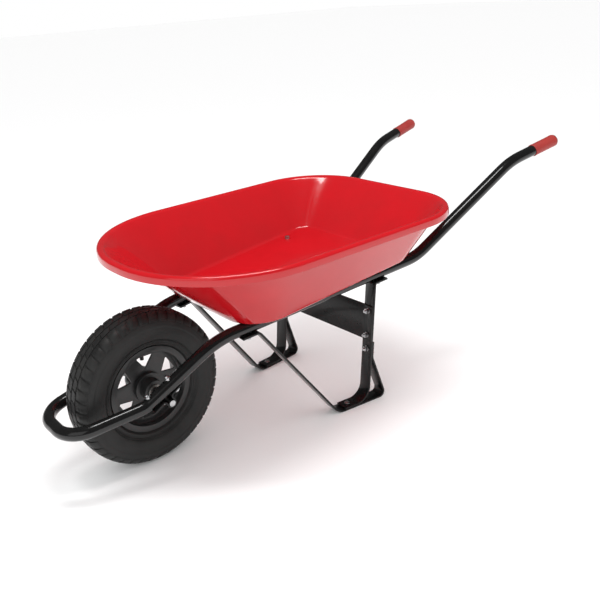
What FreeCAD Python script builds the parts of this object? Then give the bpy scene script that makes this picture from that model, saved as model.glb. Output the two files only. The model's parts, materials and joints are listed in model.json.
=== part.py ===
"""Steel wheelbarrow: one bent tube frame, a pressed tray, strap legs and one pneumatic wheel.

Millimetres, +Z up, the ground at Z = 0.  The wheel is at the -Y end, the grips are at the +Y
end, and +X is the left side of the person who pushes.  Places called *_Y are measured rearwards
from the wheel axle, and those behind the wheel keep their distance from its tyre.  The finished
parts are moved so that the origin is the centre of the footprint on the ground.
"""
import FreeCAD
import Part
import math
import os
from FreeCAD import Placement, Rotation, Vector

# ---- wheel -------------------------------------------------------------------------------
TYRE_RADIUS = 200.0
TYRE_WIDTH = 100.0
TYRE_SHOULDER_DROP = 11.0
TYRE_CAVITY_HALF_WIDTH = 41.0
TYRE_CROWN_THICKNESS = 10.0
BEAD_SEAT_RADIUS = 101.5
FLANGE_RADIUS = 112.0
RIM_INNER_WIDTH = 65.0
FLANGE_THICKNESS = 3.5
RIM_WALL = 4.0
RIM_WELL_DEPTH = 7.0
RIM_WELL_HALF_WIDTH = 14.0
SPOKE_COUNT = 6
WEB_THICKNESS = 5.0
WEB_OFFSET = 12.0
WINDOW_INNER_RADIUS = 49.0
WINDOW_OUTER_RADIUS = 86.0
WINDOW_HALF_ANGLE = 16.5
WINDOW_CORNER = 3.0
HUB_RADIUS = 28.0
BOSS_RADIUS = 39.0
BOSS_HALF_LENGTH = 27.0
HUB_LENGTH = 104.0
BUSH_WALL = 5.0
BUSH_LENGTH = 30.0
BUSH_FLANGE_RADIUS = 19.0
BUSH_FLANGE_THICKNESS = 3.0
INNER_TUBE_WALL = 2.0
VALVE_RADIUS = 4.0
VALVE_TIP_RADIUS = 74.0
VALVE_CAP_RADIUS = 5.2
VALVE_CAP_LENGTH = 14.0
VALVE_CAP_COVER = 8.0

# ---- axle --------------------------------------------------------------------------------
AXLE_RADIUS = 8.0
SPACER_RADIUS = 12.5
AXLE_NUT_FLATS = 24.0
AXLE_NUT_HEIGHT = 10.0
AXLE_WASHER_RADIUS = 15.0
AXLE_WASHER_THICKNESS = 2.5
AXLE_STICK_OUT = 1.5

# ---- frame tube: corner points of one side, (X, Y from the axle, Z) -------------------------
TUBE_RADIUS = 15.9
TUBE_WALL = 2.0
HANDLE_TIP = (281.0, TYRE_RADIUS + 1122.0, TYRE_RADIUS + 437.0)
HANDLE_BEND = (257.0, TYRE_RADIUS + 935.0, TYRE_RADIUS + 399.0)
REAR_BEND = (203.5, TYRE_RADIUS + 583.0, TYRE_RADIUS + 183.0)
FRONT_BEND = (139.0, TYRE_RADIUS - 65.0, TYRE_RADIUS + 122.0)
AXLE_BEND = (110.5, -62.0, TYRE_RADIUS + 4.0)
NOSE_CORNER = (78.0, -TYRE_RADIUS - 45.0, TYRE_RADIUS - 20.0)
HANDLE_BEND_RADIUS = 220.0
REAR_BEND_RADIUS = 150.0
FRONT_BEND_RADIUS = 230.0
AXLE_BEND_RADIUS = 60.0
NOSE_BEND_RADIUS = 72.0

# ---- grips -------------------------------------------------------------------------------
GRIP_RADIUS = 18.0
GRIP_LENGTH = 97.0
GRIP_END_THICKNESS = 5.0
GRIP_END_ROUNDING = 9.0
GRIP_MOUTH_ROUNDING = 1.0

# ---- axle brackets -------------------------------------------------------------------------
BRACKET_THICKNESS = 4.0
BRACKET_WIDTH = 28.0
BRACKET_INBOARD = 2.0
BRACKET_BOLT_SPACING = 62.0
BRACKET_BOLT_STICK_OUT = 5.0
BRACKET_EAR_MARGIN = 13.0
BRACKET_EAR_BEND = 6.0

# ---- legs: flat strip, places are Y from the axle or Z from the ground ----------------------
STRAP_WIDTH = 38.0
STRAP_THICKNESS = 5.0
POST_TOP_Y = TYRE_RADIUS + 420.0
POST_TAB_END_Y = TYRE_RADIUS + 462.0
POST_LEAN = 5.3
POST_TOP_BEND = 7.0
POST_FOOT_BEND = 44.0
POST_FOOT_END_Y = TYRE_RADIUS + 306.0
BRACE_START_Z = 178.0
BRACE_SPLIT_Z = 132.0
HEEL_Y = TYRE_RADIUS + 449.5
TOE_Y = TYRE_RADIUS + 284.5
BRACE_TOP_Y = TYRE_RADIUS + 48.0
BRACE_TAB_END_Y = TYRE_RADIUS - 1.0
SPLIT_BEND = 30.0
HEEL_BEND = 15.0
TOE_BEND = 40.0
BRACE_TOP_BEND = 12.0
FOOT_RIVET_Y = TYRE_RADIUS + 326.0
PLATE_BOTTOM_Z = 182.0
PLATE_TOP_Z = 282.0
PLATE_THICKNESS = 3.0
PLATE_BOLT_Z = (196.0, 266.0)
BRACE_BOLT_Z = 155.0
REAR_TRAY_BOLT_Y = TYRE_RADIUS + 444.0
FRONT_TRAY_BOLT_Y = TYRE_RADIUS + 23.0

# ---- tray: the lip's outer edge, then the floor ------------------------------------------------
LIP_HALF_WIDTH = 330.0
LIP_FRONT_Y = TYRE_RADIUS - 246.0
LIP_REAR_Y = TYRE_RADIUS + 696.0
LIP_FRONT_Z = TYRE_RADIUS + 333.0
LIP_REAR_Z = TYRE_RADIUS + 341.0
LIP_FRONT_CORNER = 316.0
LIP_REAR_CORNER = 200.0
LIP_WIDTH = 12.0
LIP_DROP = 23.0
FLOOR_HALF_WIDTH_FRONT = 212.0
FLOOR_HALF_WIDTH_REAR = 226.0
FLOOR_FRONT_Y = TYRE_RADIUS - 2.0
FLOOR_REAR_Y = TYRE_RADIUS + 548.0
FLOOR_FRONT_CORNER = 100.0
FLOOR_REAR_CORNER = 60.0
SHEET = 1.6

# ---- fasteners -----------------------------------------------------------------------------
BOLT_RADIUS = 4.0
HEAD_FLATS = 13.0
HEAD_HEIGHT = 5.3
NUT_HEIGHT = 6.5
WASHER_RADIUS = 8.0
WASHER_THICKNESS = 1.6
THREAD_STICK_OUT = 6.0
RIVET_HEAD_RADIUS = 8.0
RIVET_HEAD_HEIGHT = 4.0

# ---- fits ----------------------------------------------------------------------------------
RUNNING_CLEARANCE = 0.05
HOLE_CLEARANCE = 0.3
SEAT_GAP = 0.1
SIDE_PLAY = 0.5

X_AXIS = Vector(1, 0, 0)
Y_AXIS = Vector(0, 1, 0)
Z_AXIS = Vector(0, 0, 1)
AXLE_CENTRE = Vector(0, 0, TYRE_RADIUS)


# ---- drawing helpers --------------------------------------------------------------------------
def rounded_edges(points, radii, closed):
    """Straight runs joined by tangent arcs; radii[i] belongs to points[i], 0 leaves it sharp."""
    count = len(points)
    starts, arcs, ends = [], [], []
    for index, corner in enumerate(points):
        radius = radii[index]
        is_end = not closed and index in (0, count - 1)
        if is_end or radius <= 0:
            starts.append(corner)
            arcs.append(None)
            ends.append(corner)
            continue
        back = (points[index - 1] - corner).normalize()
        ahead = (points[(index + 1) % count] - corner).normalize()
        half_angle = back.getAngle(ahead) / 2
        reach = radius / math.tan(half_angle)
        bisector = (back + ahead).normalize()
        centre = corner + bisector * (radius / math.sin(half_angle))
        first, last = corner + back * reach, corner + ahead * reach
        middle = centre - bisector * radius
        starts.append(first)
        arcs.append(Part.Arc(first, middle, last).toShape())
        ends.append(last)
    edges = []
    for index in range(count):
        if arcs[index] is not None:
            edges.append(arcs[index])
        if index == count - 1 and not closed:
            break
        run_start, run_end = ends[index], starts[(index + 1) % count]
        if run_start.distanceToPoint(run_end) > 1e-6:
            edges.append(Part.LineSegment(run_start, run_end).toShape())
    return edges


def rounded_wire(points, radii, closed=True):
    return Part.Wire(rounded_edges(points, radii, closed))


def strip_wire(path, bends, thickness, place):
    """Closed outline of a bent strip; path is a list of (u, v) and place maps (u, v) to a point."""
    half = thickness / 2
    sides = ([], [])
    for index in range(len(path)):
        before = path[max(index - 1, 0)]
        here = path[index]
        after = path[min(index + 1, len(path) - 1)]
        into = unit((here[0] - before[0], here[1] - before[1])) if index > 0 else None
        out = unit((after[0] - here[0], after[1] - here[1])) if index < len(path) - 1 else None
        into, out = into or out, out or into
        turn = into[0] * out[1] - into[1] * out[0]
        normal = unit((-into[1] - out[1], into[0] + out[0]))
        miter = half / (normal[0] * -out[1] + normal[1] * out[0])
        for side, sign in zip(sides, (1, -1)):
            radius = bends[index] - sign * half * (1 if turn > 0 else -1)
            corner = (here[0] + sign * miter * normal[0], here[1] + sign * miter * normal[1])
            side.append((corner, radius if bends[index] > 0 else 0))
    outline = sides[0] + sides[1][::-1]
    return rounded_wire([place(*corner) for corner, _ in outline], [r for _, r in outline])


def unit(pair):
    length = math.hypot(*pair)
    return (pair[0] / length, pair[1] / length)


def swept_tube(wire, radius):
    """Solid round bar along an open wire."""
    first = wire.OrderedEdges[0]
    start = first.valueAt(first.FirstParameter)
    direction = first.tangentAt(first.FirstParameter)
    profile = Part.Wire([Part.makeCircle(radius, start, direction)])
    return wire.makePipeShell([profile], True, False)


def revolved(profile):
    """Solid of a closed profile in the (X, R) plane, turned round the wheel's axle."""
    face = Part.Face(profile)
    return face.revolve(Vector(0, 0, 0), X_AXIS, 360)


def on_axle(shape):
    return shape.translated(AXLE_CENTRE)


def bar(radius, start, end):
    """Round bar between two points."""
    return Part.makeCylinder(radius, start.distanceToPoint(end), start, end - start)


def ring(outer, inner, start, end):
    return bar(outer, start, end).cut(bar(inner, start, end))


def hexagon(flats, height, base, direction):
    """Hexagonal prism that stands on base and rises along direction."""
    corner = flats / math.sqrt(3)
    points = [Vector(corner * math.cos(k * math.pi / 3), corner * math.sin(k * math.pi / 3), 0)
              for k in range(6)]
    prism = Part.Face(Part.makePolygon(points + points[:1])).extrude(Vector(0, 0, height))
    prism.Placement = Placement(base, Rotation(Z_AXIS, direction))
    return prism


def bolt(head_seat, direction, shank_length, radius=BOLT_RADIUS, flats=HEAD_FLATS):
    """Hex bolt whose head sits on head_seat and whose shank runs along direction."""
    direction = Vector(direction).normalize()
    head = hexagon(flats, HEAD_HEIGHT, head_seat, direction * -1)
    return head.fuse(bar(radius, head_seat, head_seat + direction * shank_length))


def nut(seat, direction, radius=BOLT_RADIUS, flats=HEAD_FLATS, height=NUT_HEIGHT):
    """Nut that sits on seat and rises along direction."""
    direction = Vector(direction).normalize()
    body = hexagon(flats, height, seat, direction)
    return body.cut(bar(radius + SEAT_GAP, seat - direction, seat + direction * (height + 1)))


def washer(seat, direction, radius=WASHER_RADIUS, hole=BOLT_RADIUS, thickness=WASHER_THICKNESS):
    direction = Vector(direction).normalize()
    return ring(radius, hole + SEAT_GAP, seat, seat + direction * thickness)


def mirrored(shape):
    return shape.mirror(Vector(0, 0, 0), X_AXIS)


def both_sides(shapes):
    return Part.makeCompound(shapes + [mirrored(shape) for shape in shapes])


# ---- places on the frame tube --------------------------------------------------------------------
class LegPlane:
    """Upright plane through the tube's straight run under the tray, on the +X side."""

    front = Vector(*FRONT_BEND)
    rear = Vector(*REAR_BEND)
    run = math.hypot(rear.x - front.x, rear.y - front.y)
    turn = math.degrees(math.atan2(rear.x - front.x, rear.y - front.y))
    rise = (rear.z - front.z) / run
    slope = math.atan(rise)

    @classmethod
    def along(cls, y):
        """Distance along the plane from the front bend for a place given as Y."""
        return (y - cls.front.y) * cls.run / (cls.rear.y - cls.front.y)

    @classmethod
    def tube_z(cls, s, below=0.0):
        """Height of the tube's centre line, or of the line that lies square below it."""
        return cls.front.z + s * cls.rise - below / math.cos(cls.slope)

    @classmethod
    def placed(cls, shape):
        """Shape drawn in (sideways, along, up), put on the +X side of the barrow."""
        moved = shape.copy()
        moved.Placement = Placement(Vector(cls.front.x, cls.front.y, 0), Rotation(Z_AXIS, -cls.turn))
        return moved

    @classmethod
    def point(cls, s, z, sideways=0.0):
        spin = Rotation(Z_AXIS, -cls.turn)
        return Vector(cls.front.x, cls.front.y, 0) + spin.multVec(Vector(sideways, s, z))

    @classmethod
    def direction(cls, s, z):
        return Rotation(Z_AXIS, -cls.turn).multVec(Vector(0, s, z))


TAB_DEPTH = TUBE_RADIUS + SEAT_GAP + STRAP_THICKNESS / 2
POST_TOP = (LegPlane.along(POST_TOP_Y), LegPlane.tube_z(LegPlane.along(POST_TOP_Y), TAB_DEPTH))
FOOT_Z = STRAP_THICKNESS * 1.5 + SEAT_GAP
LEAN = math.radians(POST_LEAN)


def post_s(z):
    """Place of the post's middle line along the leg plane at a height."""
    return POST_TOP[0] - (POST_TOP[1] - z) * math.tan(LEAN)


# ---- frame and grips -----------------------------------------------------------------------------
def frame_path():
    side = [HANDLE_TIP, HANDLE_BEND, REAR_BEND, FRONT_BEND, AXLE_BEND, NOSE_CORNER]
    bends = [0, HANDLE_BEND_RADIUS, REAR_BEND_RADIUS, FRONT_BEND_RADIUS, AXLE_BEND_RADIUS,
             NOSE_BEND_RADIUS]
    left = [Vector(*point) for point in side]
    left[0] = grip_point(GRIP_END_THICKNESS)
    right = [Vector(-point.x, point.y, point.z) for point in reversed(left)]
    return rounded_wire(left + right, bends + bends[::-1], closed=False)


def handle_direction():
    return (Vector(*HANDLE_TIP) - Vector(*HANDLE_BEND)).normalize()


def grip_point(distance_from_tip):
    return Vector(*HANDLE_TIP) - handle_direction() * distance_from_tip


def frame_tube():
    path = frame_path()
    tube = swept_tube(path, TUBE_RADIUS).cut(swept_tube(path, TUBE_RADIUS - TUBE_WALL))
    holes = []
    for seat, along in bracket_bolt_axes() + tray_bolt_axes():
        reach = along * (TUBE_RADIUS + 2 * STRAP_THICKNESS)
        holes.append(bar(BOLT_RADIUS + HOLE_CLEARANCE, seat - reach, seat + reach))
    return tube.cut(both_sides(holes))


def grip():
    start, tip = grip_point(GRIP_LENGTH), grip_point(0)
    body = bar(GRIP_RADIUS, start, tip)
    ends = [edge for edge in body.Edges if isinstance(edge.Curve, Part.Circle)]
    ends.sort(key=lambda edge: edge.Curve.Center.y)
    body = body.makeFillet(GRIP_END_ROUNDING, ends[-1:])
    bore_end = grip_point(GRIP_END_THICKNESS - SEAT_GAP)
    return body.cut(bar(TUBE_RADIUS + SEAT_GAP, start - handle_direction(), bore_end))


# ---- axle brackets ---------------------------------------------------------------------------------
def tube_run_at_axle():
    """Direction of the tube beside the wheel, seen from the side, and the foot of the square
    line from the axle to the tube."""
    lower, upper = Vector(*AXLE_BEND), Vector(*FRONT_BEND)
    along = Vector(0, upper.y - lower.y, upper.z - lower.z).normalize()
    start = Vector(0, lower.y, lower.z)
    foot = start + along * (AXLE_CENTRE - start).dot(along)
    return along, foot


def tube_x(y):
    """Side distance of the tube's centre line beside the wheel."""
    lower, upper = Vector(*AXLE_BEND), Vector(*FRONT_BEND)
    return lower.x + (upper.x - lower.x) * (y - lower.y) / (upper.y - lower.y)


def bracket_frame():
    along, foot = tube_run_at_axle()
    down = (AXLE_CENTRE - foot).normalize()
    return along, foot, down


def bracket_bolt_axes():
    """Centre on the tube's axis and direction of each bracket bolt, on the +X side."""
    along, foot, down = bracket_frame()
    axes = []
    for sign in (-1, 1):
        centre = foot + along * (sign * BRACKET_BOLT_SPACING / 2)
        axes.append((Vector(tube_x(centre.y), centre.y, centre.z), down))
    return axes


def axle_bracket():
    """U-shaped strip that hangs under the tube and holds the axle."""
    along, foot, down = bracket_frame()
    depth = (AXLE_CENTRE - foot).Length
    half = BRACKET_THICKNESS / 2
    ear_depth = TUBE_RADIUS + SEAT_GAP + half
    ear_end = BRACKET_BOLT_SPACING / 2 + BRACKET_EAR_MARGIN
    leg = AXLE_RADIUS + SEAT_GAP + half
    bottom = depth + leg
    path = [(-ear_end, ear_depth), (-leg, ear_depth), (-leg, bottom), (leg, bottom),
            (leg, ear_depth), (ear_end, ear_depth)]
    bends = [0, BRACKET_EAR_BEND, leg - 0.01, leg - 0.01, BRACKET_EAR_BEND, 0]
    x_inner = bracket_faces()[0]

    def place(u, v):
        point = foot + along * u + down * v
        return Vector(x_inner, point.y, point.z)

    strip = Part.Face(strip_wire(path, bends, BRACKET_THICKNESS, place))
    strip = strip.extrude(X_AXIS * BRACKET_WIDTH)
    for centre, direction in bracket_bolt_axes():
        strip = strip.cut(bar(BOLT_RADIUS + HOLE_CLEARANCE, centre, centre + direction * depth))
    return strip


def bracket_fasteners():
    """Bolts pushed up from below, with a washer under each head and a nut on the tube."""
    bolts, nuts = [], []
    ear = TUBE_RADIUS + SEAT_GAP + BRACKET_THICKNESS
    for centre, down in bracket_bolt_axes():
        seat = centre + down * (ear + SEAT_GAP)
        nuts.append(washer(seat, down))
        head = seat + down * (WASHER_THICKNESS + SEAT_GAP)
        top = centre - down * (TUBE_RADIUS + SEAT_GAP)
        nuts.append(nut(top, down * -1))
        length = (top - head).Length + NUT_HEIGHT + BRACKET_BOLT_STICK_OUT
        bolts.append(bolt(head, down * -1, length))
    return both_sides(bolts), both_sides(nuts)


# ---- axle ------------------------------------------------------------------------------------------
def bracket_faces():
    """Side distances of the bracket's inner and outer face."""
    middle = tube_x(0) - BRACKET_INBOARD
    return middle - BRACKET_WIDTH / 2, middle + BRACKET_WIDTH / 2


def axle_end():
    return bracket_faces()[1] + AXLE_STICK_OUT


def axle_washer_seat():
    """Side distance of the washer's face towards the wheel; it bears on the bracket."""
    return bracket_faces()[0] - SEAT_GAP - AXLE_WASHER_THICKNESS


def axle_nut_seat():
    """Side distance of the nut's face towards the wheel; it bears on the washer."""
    return axle_washer_seat() - SEAT_GAP - AXLE_NUT_HEIGHT


def axle():
    return on_axle(bar(AXLE_RADIUS, X_AXIS * -axle_end(), X_AXIS * axle_end()))


def axle_spacer():
    start = HUB_LENGTH / 2 + BUSH_FLANGE_THICKNESS + SIDE_PLAY
    end = axle_nut_seat() - SEAT_GAP
    return on_axle(ring(SPACER_RADIUS, AXLE_RADIUS + SEAT_GAP, X_AXIS * start, X_AXIS * end))


def axle_washer():
    seat = X_AXIS * axle_washer_seat()
    return on_axle(washer(seat, X_AXIS, AXLE_WASHER_RADIUS, AXLE_RADIUS, AXLE_WASHER_THICKNESS))


def axle_nut():
    seat = X_AXIS * axle_nut_seat()
    return on_axle(nut(seat, X_AXIS, AXLE_RADIUS, AXLE_NUT_FLATS, AXLE_NUT_HEIGHT))


# ---- wheel -----------------------------------------------------------------------------------------
def cavity_profile(inset):
    """Oval section of the tyre's hollow, or of the inner tube that fills it."""
    bottom = BEAD_SEAT_RADIUS + SEAT_GAP
    top = TYRE_RADIUS - TYRE_CROWN_THICKNESS
    centre = Vector(0, 0, (bottom + top) / 2)
    tall, wide = (top - bottom) / 2 - inset, TYRE_CAVITY_HALF_WIDTH - inset
    ellipse = Part.Ellipse(centre + Z_AXIS * tall, centre + X_AXIS * wide, centre)
    return Part.Wire([ellipse.toShape()])


def tyre():
    half = TYRE_WIDTH / 2
    bead = RIM_INNER_WIDTH / 2 - SEAT_GAP
    base = BEAD_SEAT_RADIUS + SEAT_GAP
    belly = (FLANGE_RADIUS + TYRE_RADIUS) / 2 - 6
    shoulder = (half * 0.86, TYRE_RADIUS - TYRE_SHOULDER_DROP)
    flange_top = (bead, FLANGE_RADIUS + 1)
    edges = []
    for sign in (1, -1):
        def at(pair):
            return Vector(sign * pair[0], 0, pair[1])
        edges.append(Part.LineSegment(at((bead, base)), at(flange_top)).toShape())
        lower = (half - 4, (flange_top[1] + belly) / 2 - 4)
        edges.append(Part.Arc(at(flange_top), at(lower), at((half, belly))).toShape())
        upper = (half - 1.5, (belly + shoulder[1]) / 2 + 3)
        edges.append(Part.Arc(at((half, belly)), at(upper), at(shoulder)).toShape())
    left, right = Vector(-shoulder[0], 0, shoulder[1]), Vector(shoulder[0], 0, shoulder[1])
    edges.append(Part.Arc(right, Vector(0, 0, TYRE_RADIUS), left).toShape())
    edges.append(Part.LineSegment(Vector(-bead, 0, base), Vector(bead, 0, base)).toShape())
    outer = revolved(Part.Wire(Part.__sortEdges__(edges)))
    hollow = revolved(cavity_profile(0))
    throat_half = bead - 8
    throat = bar(FLANGE_RADIUS, X_AXIS * -throat_half, X_AXIS * throat_half)
    return on_axle(outer.cut(hollow).cut(throat))


def inner_tube():
    outer = revolved(cavity_profile(SEAT_GAP * 2))
    hollow = revolved(cavity_profile(SEAT_GAP * 2 + INNER_TUBE_WALL))
    return on_axle(outer.cut(hollow))


def rim_barrel():
    inside = RIM_INNER_WIDTH / 2
    outside = inside + FLANGE_THICKNESS
    well = BEAD_SEAT_RADIUS - RIM_WELL_DEPTH
    lip = RIM_WELL_HALF_WIDTH + RIM_WELL_DEPTH
    upper = [(outside, FLANGE_RADIUS), (inside, FLANGE_RADIUS), (inside, BEAD_SEAT_RADIUS),
             (lip, BEAD_SEAT_RADIUS), (RIM_WELL_HALF_WIDTH, well)]
    lower = [(RIM_WELL_HALF_WIDTH - RIM_WALL / 2, well - RIM_WALL),
             (lip - RIM_WALL / 2, BEAD_SEAT_RADIUS - RIM_WALL),
             (outside, BEAD_SEAT_RADIUS - RIM_WALL)]
    points = upper + [(-x, r) for x, r in reversed(upper)]
    points += [(-x, r) for x, r in reversed(lower)] + lower
    return revolved(Part.makePolygon([Vector(x, 0, r) for x, r in points + points[:1]]))


def wheel_rim():
    barrel = rim_barrel()
    well_inside = BEAD_SEAT_RADIUS - RIM_WELL_DEPTH - RIM_WALL
    near, far = WEB_OFFSET - WEB_THICKNESS / 2, WEB_OFFSET + WEB_THICKNESS / 2
    web = bar(well_inside + RIM_WALL / 2, X_AXIS * near, X_AXIS * far)
    windows = []
    for index in range(SPOKE_COUNT):
        middle = math.radians(90 + index * 360 / SPOKE_COUNT)
        half = math.radians(WINDOW_HALF_ANGLE)
        corners = [(WINDOW_INNER_RADIUS, middle), (WINDOW_OUTER_RADIUS, middle - half),
                   (WINDOW_OUTER_RADIUS, middle + half)]
        points = [Vector(near - 1, r * math.cos(a), r * math.sin(a)) for r, a in corners]
        outline = rounded_wire(points, [WINDOW_CORNER] * 3)
        windows.append(Part.Face(outline).extrude(X_AXIS * (WEB_THICKNESS + 2)))
    web = web.cut(Part.makeCompound(windows))
    boss = bar(BOSS_RADIUS, X_AXIS * -BOSS_HALF_LENGTH, X_AXIS * BOSS_HALF_LENGTH)
    hub = bar(HUB_RADIUS, X_AXIS * (-HUB_LENGTH / 2), X_AXIS * (HUB_LENGTH / 2))
    rim = barrel.fuse(web).fuse(boss).fuse(hub)
    bore = bar(AXLE_RADIUS + RUNNING_CLEARANCE + BUSH_WALL + SEAT_GAP, X_AXIS * -HUB_LENGTH,
               X_AXIS * HUB_LENGTH)
    valve_hole = bar(VALVE_RADIUS + HOLE_CLEARANCE, Z_AXIS * VALVE_TIP_RADIUS, Z_AXIS * FLANGE_RADIUS)
    return on_axle(rim.cut(bore).cut(valve_hole).removeSplitter())


def wheel_bush():
    inner = AXLE_RADIUS + RUNNING_CLEARANCE
    end = HUB_LENGTH / 2
    sleeve = bar(inner + BUSH_WALL, X_AXIS * (end - BUSH_LENGTH), X_AXIS * end)
    flange = bar(BUSH_FLANGE_RADIUS, X_AXIS * (end + SEAT_GAP),
                 X_AXIS * (end + BUSH_FLANGE_THICKNESS))
    neck = bar(inner + BUSH_WALL, X_AXIS * end, X_AXIS * (end + SEAT_GAP))
    body = sleeve.fuse(neck).fuse(flange).removeSplitter()
    return on_axle(body.cut(bar(inner, Vector(0, 0, 0), X_AXIS * HUB_LENGTH)))


def valve_stem():
    foot = BEAD_SEAT_RADIUS + 2 * SEAT_GAP
    return on_axle(bar(VALVE_RADIUS, Z_AXIS * VALVE_TIP_RADIUS, Z_AXIS * foot))


def valve_cap():
    mouth = VALVE_TIP_RADIUS + VALVE_CAP_COVER
    body = bar(VALVE_CAP_RADIUS, Z_AXIS * (mouth - VALVE_CAP_LENGTH), Z_AXIS * mouth)
    bore = bar(VALVE_RADIUS + SEAT_GAP, Z_AXIS * (VALVE_TIP_RADIUS - SEAT_GAP), Z_AXIS * (mouth + 1))
    return on_axle(body.cut(bore))


# ---- legs --------------------------------------------------------------------------------------------
def leg_strip(path, bends):
    half = STRAP_WIDTH / 2
    wire = strip_wire(path, bends, STRAP_THICKNESS, lambda s, z: Vector(-half, s, z))
    return LegPlane.placed(Part.Face(wire).extrude(X_AXIS * STRAP_WIDTH))


def leg_post():
    tab_end = LegPlane.along(POST_TAB_END_Y)
    path = [(tab_end, LegPlane.tube_z(tab_end, TAB_DEPTH)), POST_TOP, (post_s(FOOT_Z), FOOT_Z),
            (LegPlane.along(POST_FOOT_END_Y), FOOT_Z)]
    post = leg_strip(path, [0, POST_TOP_BEND, POST_FOOT_BEND, 0])
    return post.cut(leg_holes())


def foot_brace():
    behind = (STRAP_THICKNESS + SEAT_GAP) / math.cos(LEAN)
    ground = STRAP_THICKNESS / 2
    top, tab = LegPlane.along(BRACE_TOP_Y), LegPlane.along(BRACE_TAB_END_Y)
    path = [(post_s(BRACE_START_Z) + behind, BRACE_START_Z),
            (post_s(BRACE_SPLIT_Z) + behind, BRACE_SPLIT_Z),
            (LegPlane.along(HEEL_Y), ground), (LegPlane.along(TOE_Y), ground),
            (top, LegPlane.tube_z(top, TAB_DEPTH)), (tab, LegPlane.tube_z(tab, TAB_DEPTH))]
    brace = leg_strip(path, [0, SPLIT_BEND, HEEL_BEND, TOE_BEND, BRACE_TOP_BEND, 0])
    return brace.cut(leg_holes())


def post_bolt_axis(z):
    """Centre of the post at a height, and the direction square to it that points forwards."""
    return LegPlane.point(post_s(z), z), LegPlane.direction(-math.cos(LEAN), math.sin(LEAN))


def tray_bolt_axes():
    """Centre on the tube's axis and direction of each tray bolt, on the +X side."""
    down = LegPlane.direction(math.sin(LegPlane.slope), -math.cos(LegPlane.slope))
    places = [LegPlane.along(REAR_TRAY_BOLT_Y), LegPlane.along(FRONT_TRAY_BOLT_Y)]
    return [(LegPlane.point(s, LegPlane.tube_z(s)), down) for s in places]


def leg_holes():
    radius = BOLT_RADIUS + HOLE_CLEARANCE
    holes = []
    for z in PLATE_BOLT_Z + (BRACE_BOLT_Z,):
        centre, forward = post_bolt_axis(z)
        reach = forward * (3 * STRAP_THICKNESS)
        holes.append(bar(radius, centre - reach, centre + reach))
    for centre, down in tray_bolt_axes():
        holes.append(bar(radius, centre, centre + down * (TUBE_RADIUS + 3 * STRAP_THICKNESS)))
    rivet_base = LegPlane.point(LegPlane.along(FOOT_RIVET_Y), 0)
    holes.append(bar(radius, rivet_base - Z_AXIS, rivet_base + Z_AXIS * 3 * STRAP_THICKNESS))
    return Part.makeCompound(holes)


def leg_cross_plate():
    """Sheet across the front of both posts, with its ends bent to lie on them."""
    front = STRAP_THICKNESS / 2 + SEAT_GAP + PLATE_THICKNESS / 2
    height = PLATE_TOP_Z - PLATE_BOTTOM_Z
    s = post_s(PLATE_BOTTOM_Z) - front / math.cos(LEAN)
    outer = LegPlane.point(s, PLATE_BOTTOM_Z, STRAP_WIDTH / 2)
    inner = LegPlane.point(s, PLATE_BOTTOM_Z, -STRAP_WIDTH / 2)
    path = [(outer.x, outer.y), (inner.x, inner.y), (-inner.x, inner.y), (-outer.x, outer.y)]
    wire = strip_wire(path, [0, 2 * PLATE_THICKNESS, 2 * PLATE_THICKNESS, 0], PLATE_THICKNESS,
                      lambda x, y: Vector(x, y, PLATE_BOTTOM_Z))
    plate = Part.Face(wire).extrude(Vector(0, math.tan(LEAN) * height, height))
    holes = []
    for z in PLATE_BOLT_Z:
        centre, forward = post_bolt_axis(z)
        holes.append(bar(BOLT_RADIUS + HOLE_CLEARANCE, centre, centre + forward * 3 * STRAP_THICKNESS))
    return plate.cut(both_sides(holes))


def leg_fasteners():
    """Bolts with their heads behind the posts and their nuts in front."""
    bolts, nuts = [], []
    half = STRAP_THICKNESS / 2
    stacks = [(z, half, half + SEAT_GAP + PLATE_THICKNESS) for z in PLATE_BOLT_Z]
    stacks.append((BRACE_BOLT_Z, half + SEAT_GAP + STRAP_THICKNESS, half))
    for z, behind, ahead in stacks:
        centre, forward = post_bolt_axis(z)
        seat = centre - forward * (behind + SEAT_GAP)
        nut_seat = centre + forward * (ahead + SEAT_GAP)
        stack = behind + ahead + WASHER_THICKNESS + NUT_HEIGHT + 3 * SEAT_GAP
        bolts.append(bolt(seat, forward, stack + THREAD_STICK_OUT))
        nuts.append(washer(nut_seat, forward))
        nuts.append(nut(nut_seat + forward * (WASHER_THICKNESS + SEAT_GAP), forward))
    return both_sides(bolts), both_sides(nuts)


def foot_rivets():
    base = LegPlane.point(LegPlane.along(FOOT_RIVET_Y), 0)
    top = base + Z_AXIS * (2 * STRAP_THICKNESS + 2 * SEAT_GAP)
    shank = bar(BOLT_RADIUS, base + Z_AXIS * SEAT_GAP, top)
    head = Part.makeCylinder(RIVET_HEAD_RADIUS, RIVET_HEAD_HEIGHT, top, Z_AXIS)
    rim = [edge for edge in head.Edges if isinstance(edge.Curve, Part.Circle)
           and edge.Curve.Center.z > top.z + RIVET_HEAD_HEIGHT / 2]
    head = head.makeFillet(RIVET_HEAD_HEIGHT * 0.8, rim)
    return both_sides([shank.fuse(head)])


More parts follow.
